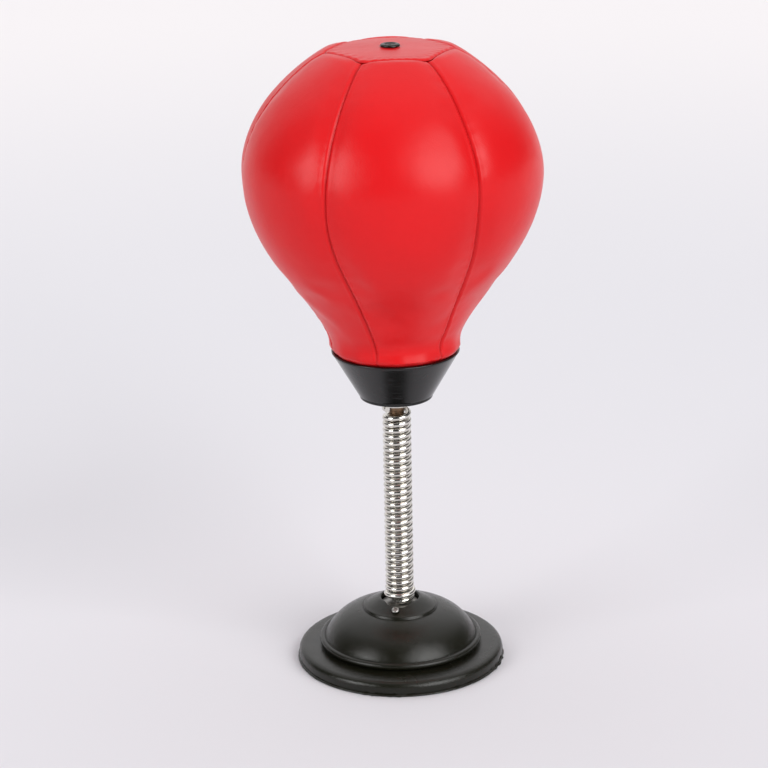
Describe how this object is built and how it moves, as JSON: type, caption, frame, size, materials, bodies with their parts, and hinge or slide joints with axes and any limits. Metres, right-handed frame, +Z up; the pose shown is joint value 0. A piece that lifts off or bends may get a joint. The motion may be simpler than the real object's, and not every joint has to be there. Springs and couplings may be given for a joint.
{
  "type": "desktop punching bag",
  "caption": "Inflatable leather punching bag on a close-wound steel spring, held by a plastic cone cup, standing on a domed rubber suction cup base.",
  "frame": {"origin": "centre of the base, on the table face that the suction cup's lip rests on", "axes": "+Z up along the spring, -Y towards the front, +X to the right seen from the front"},
  "size_m": [0.1658, 0.1658, 0.36],
  "materials": {
    "base_rubber": "satin",
    "valve_rubber": "satin",
    "bladder_rubber": "matte",
    "chrome": "polished",
    "steel": "satin",
    "plug_brass": "satin",
    "cup_plastic": "gloss",
    "red_leather": "gloss"
  },
  "bodies": {
    "base": {"suction_cup": "base_rubber", "anchor_bolt": "steel", "base_dome": "base_rubber", "spring_retaining_screw": "steel", "plug_washer": "steel", "lower_spring_plug": "steel", "spring_lower_end": "chrome"},
    "coil_1": {"spring_section_1": "chrome"},
    "coil_2": {"spring_section_2": "chrome"},
    "coil_3": {"spring_section_3": "chrome"},
    "coil_4": {"spring_section_4": "chrome"},
    "coil_5": {"spring_section_5": "chrome"},
    "coil_6": {"spring_section_6": "chrome"},
    "coil_7": {"spring_section_7": "chrome"},
    "coil_8": {"spring_section_8": "chrome"},
    "coil_9": {"spring_section_9": "chrome"},
    "bag": {"spring_upper_end": "chrome", "upper_spring_plug": "plug_brass", "cup_washer": "chrome", "bag_cup": "cup_plastic", "clamp_plug": "cup_plastic", "cup_bolt_washer": "steel", "cup_bolt": "steel", "bag_panel_1": "red_leather", "bag_panel_2": "red_leather", "bag_panel_3": "red_leather", "bag_panel_4": "red_leather", "bag_panel_5": "red_leather", "bag_panel_6": "red_leather", "bag_top_panel": "red_leather", "air_bladder": "bladder_rubber", "air_valve": "valve_rubber"}
  },
  "joints": [
    {"name": "fore_aft_bend_1", "type": "hinge", "parent": "base", "child": "coil_1", "pos_m": [0, 0, 0.05138], "axis": [1, 0, 0], "range_deg": [-12, 12], "stiffness_Nm_per_rad": 9.5, "deforming": ["spring_lower_end"]},
    {"name": "sideways_bend_1", "type": "hinge", "parent": "coil_1", "child": "coil_2", "pos_m": [0, 0, 0.06067], "axis": [0, 1, 0], "range_deg": [-12, 12], "stiffness_Nm_per_rad": 9.5, "deforming": ["spring_section_1"]},
    {"name": "fore_aft_bend_2", "type": "hinge", "parent": "coil_2", "child": "coil_3", "pos_m": [0, 0, 0.06996], "axis": [1, 0, 0], "range_deg": [-12, 12], "stiffness_Nm_per_rad": 9.5, "deforming": ["spring_section_2"]},
    {"name": "sideways_bend_2", "type": "hinge", "parent": "coil_3", "child": "coil_4", "pos_m": [0, 0, 0.07925], "axis": [0, 1, 0], "range_deg": [-12, 12], "stiffness_Nm_per_rad": 9.5, "deforming": ["spring_section_3"]},
    {"name": "fore_aft_bend_3", "type": "hinge", "parent": "coil_4", "child": "coil_5", "pos_m": [0, 0, 0.08854], "axis": [1, 0, 0], "range_deg": [-12, 12], "stiffness_Nm_per_rad": 9.5, "deforming": ["spring_section_4"]},
    {"name": "sideways_bend_3", "type": "hinge", "parent": "coil_5", "child": "coil_6", "pos_m": [0, 0, 0.09782], "axis": [0, 1, 0], "range_deg": [-12, 12], "stiffness_Nm_per_rad": 9.5, "deforming": ["spring_section_5"]},
    {"name": "fore_aft_bend_4", "type": "hinge", "parent": "coil_6", "child": "coil_7", "pos_m": [0, 0, 0.10711], "axis": [1, 0, 0], "range_deg": [-12, 12], "stiffness_Nm_per_rad": 9.5, "deforming": ["spring_section_6"]},
    {"name": "sideways_bend_4", "type": "hinge", "parent": "coil_7", "child": "coil_8", "pos_m": [0, 0, 0.1164], "axis": [0, 1, 0], "range_deg": [-12, 12], "stiffness_Nm_per_rad": 9.5, "deforming": ["spring_section_7"]},
    {"name": "sway_fore_aft", "type": "hinge", "parent": "coil_8", "child": "coil_9", "pos_m": [0, 0, 0.12568], "axis": [1, 0, 0], "range_deg": [-12, 12], "stiffness_Nm_per_rad": 9.5, "deforming": ["spring_section_8"]},
    {"name": "sway_sideways", "type": "hinge", "parent": "coil_9", "child": "bag", "pos_m": [0, 0, 0.13497], "axis": [0, 1, 0], "range_deg": [-12, 12], "stiffness_Nm_per_rad": 9.5, "deforming": ["spring_section_9", "spring_upper_end"]}
  ],
  "couplings": [
    {"joint": "fore_aft_bend_1", "follows": "sway_fore_aft", "ratio": 1},
    {"joint": "sideways_bend_1", "follows": "sway_sideways", "ratio": 1},
    {"joint": "fore_aft_bend_2", "follows": "sway_fore_aft", "ratio": 1},
    {"joint": "sideways_bend_2", "follows": "sway_sideways", "ratio": 1},
    {"joint": "fore_aft_bend_3", "follows": "sway_fore_aft", "ratio": 1},
    {"joint": "sideways_bend_3", "follows": "sway_sideways", "ratio": 1},
    {"joint": "fore_aft_bend_4", "follows": "sway_fore_aft", "ratio": 1},
    {"joint": "sideways_bend_4", "follows": "sway_sideways", "ratio": 1}
  ]
}
